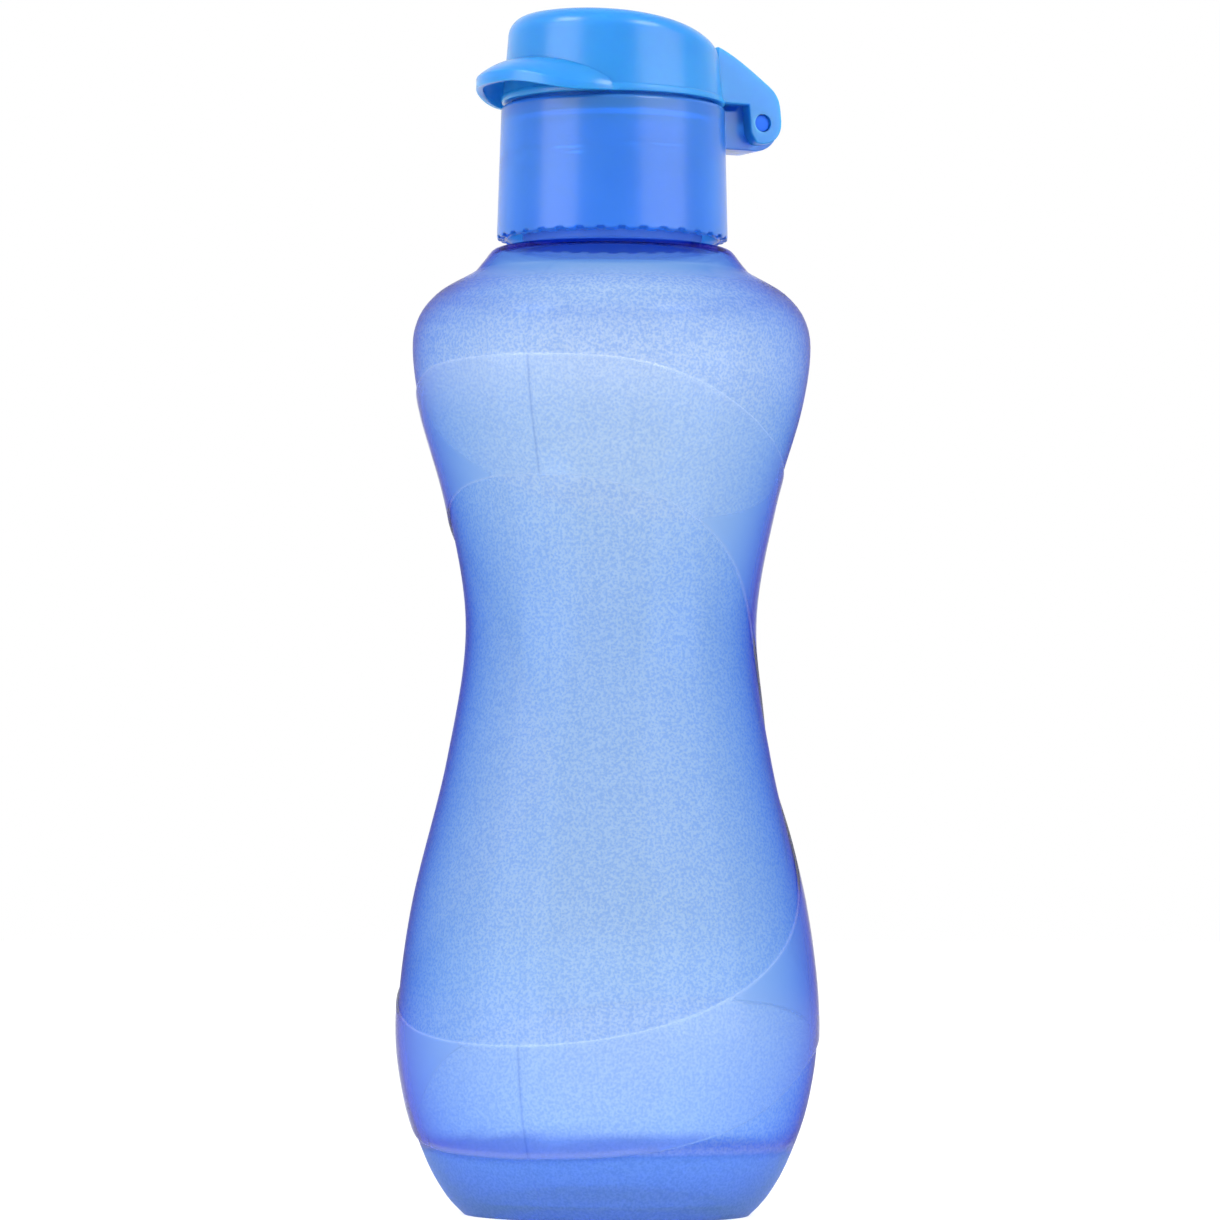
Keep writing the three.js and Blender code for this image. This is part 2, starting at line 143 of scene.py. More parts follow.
def revolved(rings, closed):
    """Vertices and faces of rings shaped [ring, column, xyz]. An open run of rings ends in two fans."""
    count, columns = rings.shape[:2]
    verts = list(rings.reshape(-1, 3))
    faces = ring_faces(count, columns, closed)
    if not closed:
        first, last = len(verts), len(verts) + 1
        verts += [rings[0].mean(0), rings[-1].mean(0)]
        top = (count - 1) * columns
        for j in range(columns):
            k = (j + 1) % columns
            faces.append((first, k, j))
            faces.append((last, top + j, top + k))
    return verts, faces


def rings_of(profile, angles):
    """Rings at the radius and height of each profile point."""
    r, z = np.array(profile, float).T
    return np.stack([np.outer(r, np.cos(angles)), np.outer(r, np.sin(angles)),
                     np.outer(z, np.ones_like(angles))], axis=2)


def rounded(corners):
    """A closed profile whose corners (r, z, radius) are rounded off.

    Each arc has a point a little way along both straight sides, so that shading stays on the arc.
    """
    made = []
    for i, (r, z, radius) in enumerate(corners):
        here = np.array((r, z), float)
        if not radius:
            made.append(here)
            continue
        sides = [np.array(corners[(i + step) % len(corners)][:2], float) - here for step in (-1, 1)]
        lengths = [np.hypot(*side) for side in sides]
        back, on = (side / size for side, size in zip(sides, lengths))
        half = math.acos(np.clip(back @ on, -1, 1)) / 2
        reach = min(radius / math.tan(half), *(0.4 * size for size in lengths))
        held = min(ARC_SUPPORT, *(0.05 * size for size in lengths))
        made.append(here + back * (reach + held))
        for t in np.linspace(0, 1, ARC_STEPS + 1):
            made.append(here + back * reach * (1 - t) ** 2 + on * reach * t**2)
        made.append(here + on * (reach + held))
    return made


def even_angles(columns):
    return np.arange(columns) * TURN / columns


def plain_mesh(verts, faces):
    mesh = bpy.data.meshes.new("solid")
    mesh.from_pydata([tuple(map(float, v)) for v in verts], [], faces)
    return mesh


def lathed(profile, columns, closed=True):
    return plain_mesh(*revolved(rings_of(profile, even_angles(columns)), closed))


def slab(outline, low_y, high_y, bevel=0.0):
    """A solid from an outline of (x, z) pairs, drawn out along Y, with its sharp edges rounded."""
    count = len(outline)
    verts = [(x, y, z) for y in (low_y, high_y) for x, z in outline]
    faces = [tuple(range(count)), tuple(range(2 * count - 1, count - 1, -1))]
    faces += [(i, i + count, (i + 1) % count + count, (i + 1) % count) for i in range(count)]
    mesh = plain_mesh(verts, faces)
    shape = bmesh.new()
    shape.from_mesh(mesh)
    bmesh.ops.recalc_face_normals(shape, faces=shape.faces)
    if bevel:
        sharp = [e for e in shape.edges if e.calc_face_angle(0) > math.radians(30)]
        bmesh.ops.bevel(shape, geom=sharp, offset=bevel, segments=3, profile=0.5, affect="EDGES",
                        clamp_overlap=True)
    shape.to_mesh(mesh)
    shape.free()
    return mesh


def arc(x, z, radius, first, last, steps):
    """Points on a circle, between two angles in degrees."""
    turn = np.radians(np.linspace(first, last, steps + 1))
    return [(x + radius * math.cos(a), z + radius * math.sin(a)) for a in turn]


def combined(mesh, *steps):
    """The mesh after each step in turn: UNION, DIFFERENCE or INTERSECT with another mesh."""
    objects = []
    for part in (mesh, *(other for _, other in steps)):
        objects.append(linked("solid", part))
    for (operation, _), other in zip(steps, objects[1:]):
        step = objects[0].modifiers.new(operation, "BOOLEAN")
        step.operation, step.solver, step.object = operation, "MANIFOLD", other
    view = bpy.context.evaluated_depsgraph_get()
    made = bpy.data.meshes.new_from_object(objects[0].evaluated_get(view))
    for holder in objects:
        bpy.data.objects.remove(holder)
    shape = bmesh.new()
    shape.from_mesh(made)
    bmesh.ops.remove_doubles(shape, verts=shape.verts, dist=MERGE_DISTANCE)
    bmesh.ops.dissolve_degenerate(shape, edges=shape.edges, dist=MERGE_DISTANCE)
    shape.to_mesh(made)
    shape.free()
    return made


def piece_of(mesh, name, body, node, material, sharp_angle=35):
    """A piece from a mesh in millimetres."""
    mesh.transform(Matrix.Scale(MM, 4))
    mesh.name = name
    return make_piece(name, mesh, body, node, material, sharp_angle)


# ---- Materials ----
def linear(*srgb):
    """An sRGB colour, from 0 to 255, as scene-linear RGBA."""
    return tuple((c / 255 / 12.92) if c < 10 else ((c / 255 + 0.055) / 1.055) ** 2.4
                 for c in srgb) + (1,)


class Nodes:
    """A material's node tree, with short calls for what these plastics need."""

    def __init__(self, name):
        self.material = bpy.data.materials.new(name)
        self.material.use_nodes = True
        self.tree = self.material.node_tree
        self.shader = self.tree.nodes["Principled BSDF"]
        self.output = self.tree.nodes["Material Output"]

    def add(self, kind, **sockets):
        node = self.tree.nodes.new(kind)
        for name, value in sockets.items():
            self.set(node.inputs[name.replace("_", " ")], value)
        return node

    def set(self, socket, value):
        if isinstance(value, bpy.types.NodeSocket):
            self.tree.links.new(value, socket)
        else:
            socket.default_value = value

    def principled(self, **sockets):
        for name, value in sockets.items():
            self.set(self.shader.inputs[name.replace("_", " ")], value)

    def place(self):
        return self.add("ShaderNodeTexCoord").outputs["Object"]

    def noise(self, scale, detail=2.0, roughness=0.5):
        return self.add("ShaderNodeTexNoise", Vector=self.place(), Scale=scale, Detail=detail,
                        Roughness=roughness).outputs["Fac"]

    def attribute(self, name):
        node = self.add("ShaderNodeAttribute")
        node.attribute_name = name
        return node.outputs["Fac"]

    def maths(self, operation, *values):
        node = self.add("ShaderNodeMath")
        node.operation = operation
        for socket, value in zip(node.inputs, values):
            self.set(socket, value)
        return node.outputs[0]

    def remap(self, value, low, high, from_low=0.0, from_high=1.0):
        node = self.add("ShaderNodeMapRange")
        for name, given in (("Value", value), ("From Min", from_low), ("From Max", from_high),
                            ("To Min", low), ("To Max", high)):
            self.set(node.inputs[name], given)
        return node.outputs["Result"]

    def blend(self, share, first, second):
        node = self.add("ShaderNodeMix")
        node.data_type = "RGBA"
        for name, given in (("Factor", share), ("A", first), ("B", second)):
            socket = next(s for s in node.inputs
                          if s.name == name and (s.type == "RGBA") == (name != "Factor"))
            self.set(socket, given)
        return next(s for s in node.outputs if s.type == "RGBA")

    def bump(self, height, strength, distance):
        return self.add("ShaderNodeBump", Height=height, Strength=strength,
                        Distance=distance).outputs["Normal"]

    def absorb(self, color, density):
        node = self.add("ShaderNodeVolumeAbsorption", Color=color, Density=density)
        self.tree.links.new(node.outputs["Volume"], self.output.inputs["Volume"])


def absorbed(red, green, blue):
    """Colour and density of a Volume Absorption that takes this much per metre of each colour."""
    density = max(red, green, blue) * 1.07
    return (1 - red / density, 1 - green / density, 1 - blue / density, 1), density


def clear_tint(n, scale):
    """Almost white, with slight clouds."""
    return n.blend(n.remap(n.noise(scale, 3.0), 0, 1, 0.3, 0.7), linear(252, 253, 252),
                   linear(255, 255, 255))


def body_plastic():
    """Translucent blue: grained where the mould was textured, clear and glossy on the bands, with a
    painted highlight line along the bands' edges.
    """
    n = Nodes("body_plastic")
    grain, rim, seam, milk, frost = (n.attribute(name)
                                     for name in ("grain", "rim", "seam", "milk", "frost"))
    pebble = n.add("ShaderNodeTexVoronoi", Vector=n.place(), Scale=1700.0).outputs["Distance"]
    fine = n.noise(1900.0, 2.0, 0.6)
    height = n.maths("MULTIPLY", n.maths("ADD", pebble, fine), grain)
    speckle = n.maths("MULTIPLY", n.remap(fine, 0.0, 1.0, 0.4, 0.6), grain)
    cloudy = n.blend(speckle, linear(116, 158, 222), linear(100, 142, 208))
    tint = n.blend(speckle, clear_tint(n, 45.0), linear(192, 210, 242))
    tint = n.blend(n.remap(milk, 0.0, 1.0, 0.0, 0.5), tint, cloudy)
    tint = n.blend(n.maths("MULTIPLY", seam, 0.6), tint, linear(150, 172, 218))
    # rim marks the band's edges: there the coat is glossier and less light passes straight through, so
    # the white base shows as a painted highlight line over the real raised step.
    coat = n.maths("ADD", n.remap(grain, 0.16, 0.05), n.maths("MULTIPLY", rim, 0.2))
    haze_and_painted_highlight = n.maths("ADD", n.maths("MULTIPLY", rim, 0.07), n.maths("MULTIPLY", milk, 0.58))
    n.principled(Base_Color=tint, Roughness=n.remap(grain, 0.1, 0.3),
                 Normal=n.bump(height, 0.6, 0.0001), Coat_Weight=coat,
                 Transmission_Weight=n.maths("SUBTRACT", 1.0, n.maths("ADD", frost, haze_and_painted_highlight)))
    n.principled(IOR=1.03, Coat_Roughness=0.16, Coat_IOR=1.5)
    n.absorb(*absorbed(365, 212, 42))
    return n.material


def cloudy_plastic(name, darker, lighter):
    """A slightly uneven colour and gloss; the caller sets how much light passes."""
    n = Nodes(name)
    clouds = n.remap(n.noise(60.0, 3.0), 0, 1, 0.3, 0.7)
    n.principled(Base_Color=n.blend(clouds, linear(*darker), linear(*lighter)),
                 Roughness=n.remap(n.noise(900.0, 2.0), 0.26, 0.34), Coat_IOR=1.42)
    return n


def cap_plastic():
    """The screw cap: cloudier than the bottle, so that the neck hardly shows through it."""
    n = cloudy_plastic("cap_plastic", (56, 148, 231), (64, 156, 237))
    n.principled(Transmission_Weight=0.78, IOR=1.25, Coat_Weight=0.36, Coat_Roughness=0.24)
    n.absorb(*absorbed(50, 45, 4))
    return n.material


def lid_plastic():
    """The flip lid: a greener blue that lets less light straight through and glows more."""
    n = cloudy_plastic("lid_plastic", (28, 126, 196), (38, 133, 203))
    n.principled(Transmission_Weight=0.4, IOR=1.2, Coat_Weight=0.5, Coat_Roughness=0.26)
    n.principled(Subsurface_Weight=0.8, Subsurface_Radius=(0.5, 0.8, 1.0), Subsurface_Scale=0.006)
    return n.material


def pin_plastic():
    """Deep blue and dull: painted shade, so that the pin's end reads as a shaded recess."""
    n = Nodes("pin_plastic")
    # The pin's blue, darker than the cap's, is painted shade for the recess round its end.
    tint = n.blend(n.noise(120.0, 2.0), linear(22, 78, 178), linear(30, 88, 186))
    n.principled(Base_Color=tint, Roughness=n.remap(n.noise(700.0, 2.0), 0.5, 0.6))
    n.principled(Specular_IOR_Level=0.1)
    return n.material


def silicone(name, color):
    """Milky soft plastic with a faint bloom."""
    n = Nodes(name)
    darker = tuple(c - 8 for c in color)
    tint = n.blend(n.noise(80.0, 3.0), linear(*darker), linear(*color))
    n.principled(Base_Color=tint, Roughness=n.remap(n.noise(500.0, 2.0), 0.38, 0.5),
                 Normal=n.bump(n.noise(1800.0, 2.0), 0.15, 0.00005))
    n.principled(Subsurface_Weight=0.5, Subsurface_Radius=(1.0, 1.0, 1.0),
                 Subsurface_Scale=0.002)
    return n.material


# ---- Bottle body ----
def angle_from(azimuth, angles):
    """Each angle measured from an azimuth, wrapped to -180..180 degrees."""
    return (np.degrees(angles) - azimuth + 180) % 360 - 180


def line_height(line, off_middle):
    """Height of a pattern line at each angle from the pattern's middle, mirrored about it."""
    smooth = spline(line, 12)
    return np.interp(np.abs(off_middle), smooth[:, 0], smooth[:, 1])


def band_share(off_middle, z, radius):
    """1 on the raised clear band, 0 on the grained shoulder, panel and heel, over a short edge."""
    def line_distance(line, sign):
        here = line_height(line, off_middle)
        ahead = line_height(line, off_middle + 1)
        slope = (ahead - here) / (np.radians(1) * radius)
        return sign * (here - z) / np.sqrt(1 + slope**2)

    high = np.abs(z - PANEL_MIDDLE_Z) / PANEL_HALF_HEIGHT
    across = np.abs(off_middle) / PANEL_HALF_SPAN
    level = high**PANEL_POWER_Z + across**PANEL_POWER_ACROSS - 1
    pull_z = PANEL_POWER_Z * np.maximum(high, 0.02) ** (PANEL_POWER_Z - 1) / PANEL_HALF_HEIGHT
    pull_across = (PANEL_POWER_ACROSS * across ** (PANEL_POWER_ACROSS - 1)
                   / (np.radians(PANEL_HALF_SPAN) * radius))
    panel_distance = level / np.hypot(pull_z, pull_across)
    nearest = np.minimum(line_distance(BAND_TOP_LINE, 1), line_distance(BAND_FOOT_LINE, -1))
    return smooth_step(np.minimum(nearest, panel_distance) / BAND_EDGE + 0.5)


def body_angles():
    """Columns round the bottle, closer together at the two parting lines."""
    even = np.radians(np.arange(0, 360, COLUMN_STEP))
    seams = [SEAM_AZIMUTH + turn + off for turn in (0, 180) for off in (-0.9, -0.45, 0, 0.45, 0.9)]
    seams = np.radians(np.array(seams)) % TURN
    clear = [a for a in even if np.min(np.abs((a - seams + math.pi) % TURN - math.pi)) > 0.012]
    return np.sort(np.concatenate([clear, seams]))


def side_line():
    """The side's profile as radii, heights and the length up it to each point."""
    radii, heights = spline(SIDE_POINTS, 24).T
    length = np.concatenate([[0], np.cumsum(np.hypot(np.diff(radii), np.diff(heights)))])
    return radii, heights, length


def side_distances(off_middle, heights, length):
    """How far up the side each row is in each column, with rows bunched at the pattern's lines.

    Past the panel's ends its two lines run together round its middle.
    """
    share = np.clip(np.abs(off_middle) / PANEL_HALF_SPAN, 0, 1)
    half = PANEL_HALF_HEIGHT * (1 - share**PANEL_POWER_ACROSS) ** (1 / PANEL_POWER_Z)
    half = np.maximum(half, 2)
    lines = [line_height(BAND_FOOT_LINE, off_middle), PANEL_MIDDLE_Z - half,
             PANEL_MIDDLE_Z + half, line_height(BAND_TOP_LINE, off_middle)]
    bunch = np.array([-0.5, -0.22, 0, 0.22, 0.5])
    knots = [np.zeros((1, len(off_middle)))]
    knots += [np.interp(line, heights, length)[None, :] + bunch[:, None] for line in lines]
    knots.append(np.full((1, len(off_middle)), length[-1]))
    rows = []
    for low, high, count in zip(knots, knots[1:], ROWS_BETWEEN_LINES):
        rows.append(low)
        inside = np.linspace(0, 1, count + 2)[1:-1, None]
        rows.append(low[-1] + (high[0] - low[-1]) * inside)
    rows.append(knots[-1])
    return np.concatenate(rows)


def inside_profile(radii, heights, ring):
    """The bottle's inside, from the neck's bore down to the base."""
    inner = [(NECK_BORE, NECK_BASE_Z + 0.6), (NECK_BORE + 1, NECK_BASE_Z - 0.8), (19.9, 184),
             (21.7, 183.6), (22.4, 183.1), (23.7, 181.5), (25.3, 179.6)]
    for height in np.linspace(INSIDE_TOP_Z, INSIDE_FOOT_Z, INSIDE_ROWS):
        rise = (np.interp(height + 0.5, heights, radii)
                - np.interp(height - 0.5, heights, radii))
        tilt = math.hypot(1, rise)
        wall = np.interp(height, *np.array(WALL_LINE).T)
        inner.append((np.interp(height, heights, radii) - wall / tilt,
                      height + wall * rise / tilt))
    inner = [p for p in inner if p[1] > BASE_WALL + 1.2]
    inner += [(ring + 1, BASE_WALL + 0.5), (ring - 1, BASE_WALL + 0.4), (ring - 4, BASE_WALL + 1),
              (ring * 0.5, BASE_WALL + 2.3), (3, BASE_WALL + BASE_PUSH_UP)]
    return inner


def bottle_shell():
    angles = body_angles()
    off_middle = angle_from(PATTERN_AZIMUTH, angles)
    radii, heights, length = side_line()
    along = side_distances(off_middle, heights, length)
    r = np.interp(along, length, radii)
    z = np.interp(along, length, heights)
    step = 0.4
    dr = np.interp(along + step, length, radii) - np.interp(along - step, length, radii)
    dz = np.interp(along + step, length, heights) - np.interp(along - step, length, heights)
    size = np.hypot(dr, dz)
    out_r, out_z = dz / size, -dr / size
    band = band_share(off_middle[None, :], z, r)
    off_near, off_far = (np.abs(angle_from(SEAM_AZIMUTH + turn, angles)) for turn in (0, 180))
    seam = np.clip(1 - np.minimum(off_near, off_far) / SEAM_HALF_ANGLE, 0, 1)[None, :]
    seam = seam * np.clip((z - 1) / 3, 0, 1)
    raise_by = BAND_RAISE * band + SEAM_RAISE * seam
    r, z = r + raise_by * out_r, z + raise_by * out_z
    side = np.stack([r * np.cos(angles), r * np.sin(angles), z], axis=2)

    ring = BASE_RADIUS - BASE_RING_WIDTH
    base = [(3, BASE_PUSH_UP), (ring * 0.5, BASE_PUSH_UP * 0.95), (ring - 6, BASE_PUSH_UP * 0.75),
            (ring - 3, BASE_PUSH_UP * 0.4), (ring - 1, BASE_PUSH_UP * 0.1), (ring, 0)]
    neck = [(NECK_RADIUS + 0.3, NECK_BASE_Z - 0.1)]
    neck += [(NECK_RADIUS, height)
             for height in np.arange(NECK_BASE_Z + 0.3, NECK_TOP_Z - 0.4, THREAD_ROW_STEP)]
    neck_rings = rings_of(neck, angles)
    add_thread(neck_rings, angles, THREAD_START_Z, THREAD_DEPTH, 0, THREAD_TURNS)
    rim = [(NECK_RADIUS, NECK_TOP_Z - 0.4), (NECK_RADIUS - 0.15, NECK_TOP_Z - 0.1),
           (NECK_RADIUS - 0.5, NECK_TOP_Z), (NECK_BORE + 0.3, NECK_TOP_Z),
           (NECK_BORE, NECK_TOP_Z - 0.3)]
    collar = spline(COLLAR_POINTS, 6)
    rings = np.concatenate([rings_of(base, angles), side, rings_of(collar, angles), neck_rings,
                            rings_of(rim, angles),
                            rings_of(inside_profile(radii, heights, ring), angles)])
    verts, faces = revolved(rings, closed=False)
    mesh = bpy.data.meshes.new("bottle_shell")
    mesh.from_pydata([tuple(v) for v in np.asarray(verts, float) * MM], [], faces)
    mesh.validate()

    # How each point of the outside looks: grained off the band, with a painted highlight line
    # along its edges, hazy at the heel, neck and shoulder. The inside keeps 0.
    fade = np.clip((GRAIN_TOP_Z - z) / GRAIN_FADE, 0, 1)
    foot_z = line_height(BAND_FOOT_LINE, off_middle)
    heel = 1 - smooth_step((z - np.minimum(foot_z, HEEL_HAZE_TOP_Z)) / 3 + 0.5)
    lower = 1 - smooth_step((z - 36) / 10)
    looks = {
        "grain": (1 - band) * fade,
        # rim: a painted highlight line, strongest halfway across the band's edge.
        "rim": 4 * band * (1 - band) * fade,
        "seam": seam * (0.12 + 0.88 * band) * np.where(off_near < 90, 1, FAR_SEAM_SHARE),
        "milk": HEEL_HAZE * heel + LOWER_HAZE * lower,
        "frost": fade * (FROST + SHOULDER_FROST * smooth_step((z - 148) / 14)),
    }
    columns = len(angles)
    first = len(base) * columns
    for name, share in looks.items():
        values = np.zeros(len(verts))
        values[first:first + share.size] = share.reshape(-1)
        if name == "milk":
            values[:first] = 1
            neck_start = first + share.size + len(collar) * columns
            values[neck_start:neck_start + len(neck) * columns] = NECK_HAZE
        mesh.attributes.new(name, "FLOAT", "POINT").data.foreach_set("value", values)
    make_piece("bottle_shell", mesh, "bottle", "bottle_body", body_plastic(), 60)


# ---- Screw thread, as in the CAD model ----
THREAD_PITCH = 4
THREAD_DEPTH = 1.45
THREAD_ROOT_HEIGHT, THREAD_CREST_HEIGHT = 2.2, 1.0
THREAD_START_Z, THREAD_TURNS = 197.6, 2
THREAD_FADE = 0.1


def add_thread(rings, angles, start_z, depth, first_turn, last_turn):
    """Moves a right-hand ridge out of rings of a wall, by a depth that is negative inwards."""
    turn = (angles / TURN) % 1
    for ring in rings:
        z = ring[:, 2]
        lift = np.zeros(len(angles))
        for whole in range(first_turn, last_turn):
            along = turn + whole
            gap = np.abs(z - start_z - THREAD_PITCH * along)
            flank = (THREAD_ROOT_HEIGHT - THREAD_CREST_HEIGHT) / 2
            height = np.clip((THREAD_ROOT_HEIGHT / 2 - gap) / flank, 0, 1)
            ends = np.minimum(along - first_turn, last_turn - along)
            lift = np.maximum(lift, height * np.clip(ends / THREAD_FADE, 0, 1))
        scale = 1 + lift * depth / np.hypot(ring[:, 0], ring[:, 1])
        ring[:, 0] *= scale
        ring[:, 1] *= scale


# ---- Screw cap ----
SKIRT_BOTTOM_Z, SKIRT_BOTTOM_RADIUS, SKIRT_TOP_RADIUS = 187.1, 22.2, 21.5
SKIRT_MOUTH_RADIUS, CAP_BORE, CAP_THREAD_DEPTH = 20.1, 19.3, 1.55
DECK_TOP_Z, DECK_THICKNESS, DECK_HOLE = 212.3, 2.1, 10
SKIRT_EDGE = 1.1
SEAT_RADIUS, SEAT_WIDTH, SEAT_HEIGHT = 19.3, 1, 1.4
CAP_THREAD_START_Z = THREAD_START_Z - THREAD_PITCH / 2
TEETH, TOOTH_DEPTH, TOOTH_HEIGHT, LIP_DEPTH = 34, 0.45, 0.9, 0.4
COLUMNS_PER_TOOTH = 12

# ---- Hinge ----
PIN_X, PIN_Z, PIN_RADIUS, PIN_HOLE_RADIUS, PIN_RECESS = 28.7, 210.3, 1.65, 1.75, 0.6
HINGE_HALF_WIDTH, KNUCKLE_HALF_WIDTH = 7.5, 4.2
KNUCKLE_RADIUS, TONGUE_TOP_Z = 5.1, 212.8
EAR_RADIUS, EAR_INNER_TOP, EAR_INNER_LOW = 4.1, 3, 2.6
ARM_UNDERSIDE_Z, SLOT_START_X, WEB_END = 213.7, 22, 5
GAP = 0.3


def across_hinge(radius, half_width, bevel=0.0):
    return slab(arc(PIN_X, PIN_Z, radius, 0, 352.5, 47), -half_width, half_width, bevel)


def cap_shell():
    """Skirt, deck, seating ring, inside thread and hinge tongue: one moulding.

    The profile runs up the outside and down to the deck's underside, where rows close enough for
    the thread take over, and ends in the small lip at the skirt's mouth.
    """
    angles = even_angles(TEETH * COLUMNS_PER_TOOTH)
    deck_bottom, seat_top = DECK_TOP_Z - DECK_THICKNESS, DECK_TOP_Z + SEAT_HEIGHT
    seat_inside = SEAT_RADIUS - SEAT_WIDTH
    lip = (SKIRT_MOUTH_RADIUS + SKIRT_BOTTOM_RADIUS) / 2
    upper = rounded([
        (SKIRT_BOTTOM_RADIUS, SKIRT_BOTTOM_Z, 0.35), (SKIRT_TOP_RADIUS, DECK_TOP_Z, SKIRT_EDGE),
        (SEAT_RADIUS, DECK_TOP_Z, 0.2), (SEAT_RADIUS - 0.1, seat_top, 0.3),
        (seat_inside, seat_top, 0.3), (seat_inside, DECK_TOP_Z, 0.2),
        (DECK_HOLE, DECK_TOP_Z, 0.4), (DECK_HOLE, deck_bottom, 0.3),
        (CAP_BORE, deck_bottom, 0.5), (CAP_BORE, deck_bottom - 1.5, 0),
        (lip, SKIRT_BOTTOM_Z, 0)])[:-1]
    bore_z = np.arange(deck_bottom - 1.8, SKIRT_BOTTOM_Z + 0.4, -THREAD_ROW_STEP)
    bore_r = np.interp(bore_z, [SKIRT_BOTTOM_Z, CAP_THREAD_START_Z],
                       [SKIRT_MOUTH_RADIUS, CAP_BORE])
    lower = [(SKIRT_MOUTH_RADIUS, SKIRT_BOTTOM_Z - LIP_DEPTH + 0.3),
             (SKIRT_MOUTH_RADIUS + 0.2, SKIRT_BOTTOM_Z - LIP_DEPTH),
             (lip - 0.35, SKIRT_BOTTOM_Z - LIP_DEPTH),
             (lip - 0.1, SKIRT_BOTTOM_Z - LIP_DEPTH + 0.15), (lip + 0.1, SKIRT_BOTTOM_Z - 0.05)]
    rings = rings_of([*upper, *zip(bore_r, bore_z), *lower], angles)
    thread_rings = rings[len(upper):len(upper) + len(bore_z)]
    add_thread(thread_rings, angles, CAP_THREAD_START_Z, -CAP_THREAD_DEPTH, 1, 2)

    # The skirt's lower edge is a row of small teeth.
    low = np.clip((SKIRT_BOTTOM_Z + TOOTH_HEIGHT - rings[:, :, 2]) / TOOTH_HEIGHT, 0, 1)
    outside = np.hypot(rings[:, :, 0], rings[:, :, 1]) > lip - 0.2
    tooth = smooth_step((np.cos(angles * TEETH) + 0.35) / 0.5)
    rings[:, :, 2] -= TOOTH_DEPTH * low * outside * tooth[None, :]

    root = CAP_BORE + 0.8
    top_meets = 180 - math.degrees(math.asin((TONGUE_TOP_Z - PIN_Z) / KNUCKLE_RADIUS))
    tongue = slab([(root, TONGUE_TOP_Z), (root, PIN_Z - KNUCKLE_RADIUS),
                   *arc(PIN_X, PIN_Z, KNUCKLE_RADIUS, -90, top_meets, 48)],
                  -KNUCKLE_HALF_WIDTH, KNUCKLE_HALF_WIDTH, 0.3)
    lid_room = lathed([(0.01, DECK_TOP_Z), (LID_RADIUS + GAP, DECK_TOP_Z),
                       (LID_RADIUS + GAP, DECK_TOP_Z + 5), (0.01, DECK_TOP_Z + 5)], 144, False)
    hole = across_hinge(PIN_HOLE_RADIUS, HINGE_HALF_WIDTH + 1)
    hinge = combined(tongue, ("DIFFERENCE", hole), ("DIFFERENCE", lid_room))
    shell = combined(plain_mesh(*revolved(rings, closed=True)), ("UNION", hinge))
    piece_of(shell, "cap_shell", "cap", "screw_cap", cap_plastic())


# ---- Flip lid ----
LID_RIM_Z, LID_RADIUS = 212.9, 21.5
LID_BAND_HEIGHT, LID_BAND_STEP = 1.4, 0.3
LID_WALL_TOP_RADIUS, LID_WALL_TOP_Z = 20.3, 225.2
LID_FILLET, LID_CROWN, LID_WALL = 4, 0.5, 1.6
LID_TOP_Z = LID_WALL_TOP_Z + LID_FILLET + LID_CROWN
LID_COLUMNS = 192
LID_TOP_LINE = [(-22, 230.3), (-10, 229.8), (0, 228.8), (10, 227), (20, 224.1), (28.9, 218.4),
                (32, 215.3), (32.8, 211)]
TAB_OFFSET, TAB_OUTLINE_RADIUS = 7.7, 19.4
TAB_HALF_SPAN = math.radians(67)
TAB_ROOT_HEIGHT, TAB_EDGE_HEIGHT, TAB_EDGE_LIFT, TAB_THICKNESS = 7.6, 2.2, 2.3, 1.5
TAB_LIFT_FULL, TAB_LIFT_END = math.radians(12), math.radians(50)
TAB_SECTIONS, TAB_BULGE = 81, 2.8
TAB_END_HEIGHT, TAB_END_EDGE, TAB_END_THICKNESS = 0.8, 0.4, 0.3
SPOUT_TOP_Z, SPOUT_LIP_RADIUS, SPOUT_BORE = 221.5, 6.9, 3.5
SPOUT_FLANGE_RADIUS, SPOUT_BEAD_RADIUS = 12.4, 10.7
SEAL_RADIUS, SEAL_STEM_RADIUS, SEAL_NOSE_DEPTH, BOSS_RADIUS = 8, 4.6, 2, 6.6


def sloped(mesh):
    """Squeezes a round lid in height, more towards the hinge, so that its top follows the top line."""
    line = spline(LID_TOP_LINE, 16)
    for vertex in mesh.vertices:
        height = vertex.co.z - LID_RIM_Z
        if height > 0:
            top = np.interp(vertex.co.x, line[:, 0], line[:, 1])
            vertex.co.z = LID_RIM_Z + height * (top - LID_RIM_Z) / (LID_TOP_Z - LID_RIM_Z)
    return mesh


def dome_profile(inset):
    """The lid's profile from the top of its wall to the axis, moved in by a thickness."""
    centre, radius = LID_WALL_TOP_RADIUS - LID_FILLET, LID_FILLET - inset
    points = arc(centre, LID_WALL_TOP_Z, radius, 0, 86.6, 14)
    r = np.linspace(centre * 0.93, 0.4, 12)
    crown = LID_TOP_Z - inset - (LID_CROWN - 0.01) * (r / centre) ** 2
    return points + list(zip(r, crown))


